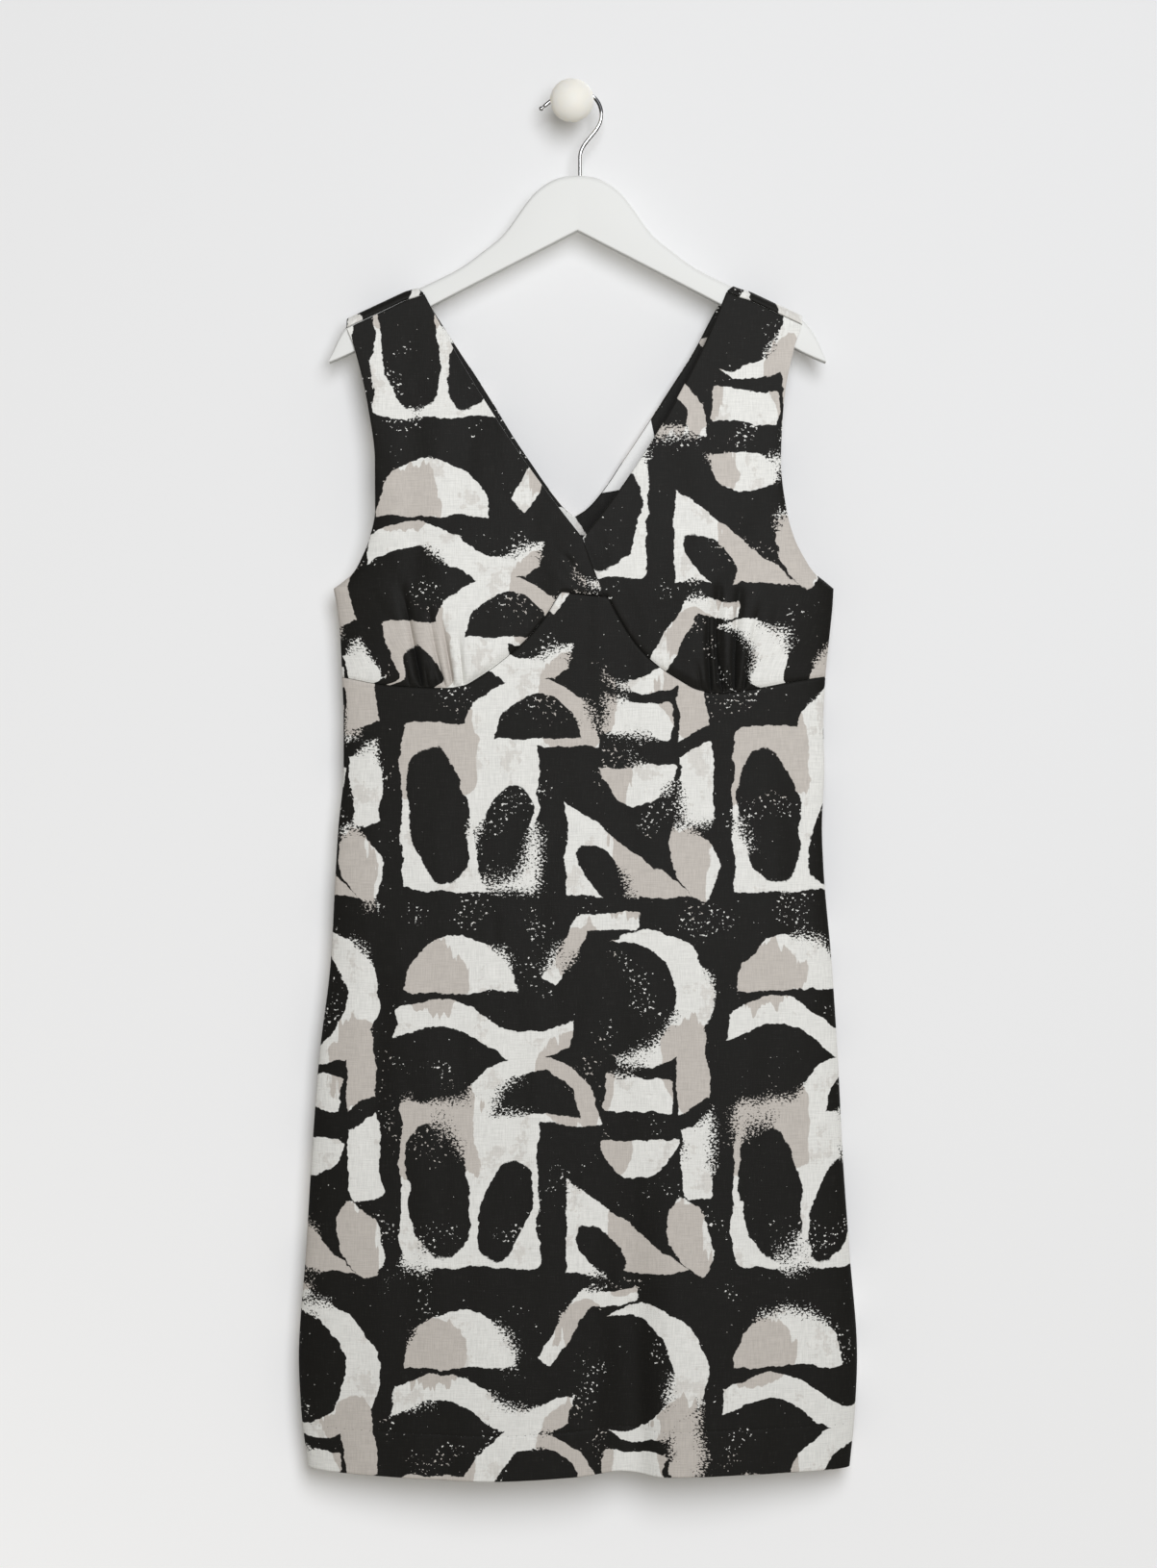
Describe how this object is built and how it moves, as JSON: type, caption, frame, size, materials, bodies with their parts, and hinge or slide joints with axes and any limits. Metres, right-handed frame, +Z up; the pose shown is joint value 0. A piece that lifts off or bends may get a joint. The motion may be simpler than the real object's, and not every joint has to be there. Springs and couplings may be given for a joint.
{
  "type": "shift dress on a hanger and wall knob",
  "caption": "Sleeveless V-neck shift dress with gathered cups and a loose straight skirt, hung on a wooden hanger whose hook rests on a round wall knob.",
  "frame": {"origin": "centre of the wall knob's flat back face, on the wall", "axes": "+Z up, +Y into the wall, so the dress faces -Y, +X to the viewer's right"},
  "size_m": [0.4992, 0.0622, 1.2434],
  "materials": {
    "print_cloth": "matte linen-look weave, black ground with off-white and taupe printed shapes",
    "label_cloth": "plain white woven label",
    "painted_wood": "satin white paint",
    "chrome": "polished",
    "knob_paint": "satin off-white paint"
  },
  "bodies": {
    "root": {"bodice_front_right": "print_cloth", "bodice_front_left": "print_cloth", "skirt_front": "print_cloth", "back": "print_cloth", "back_neck_facing": "print_cloth", "neck_label": "label_cloth", "hanger_body": "painted_wood", "hanger_hook": "chrome", "wall_knob": "knob_paint"}
  },
  "joints": []
}
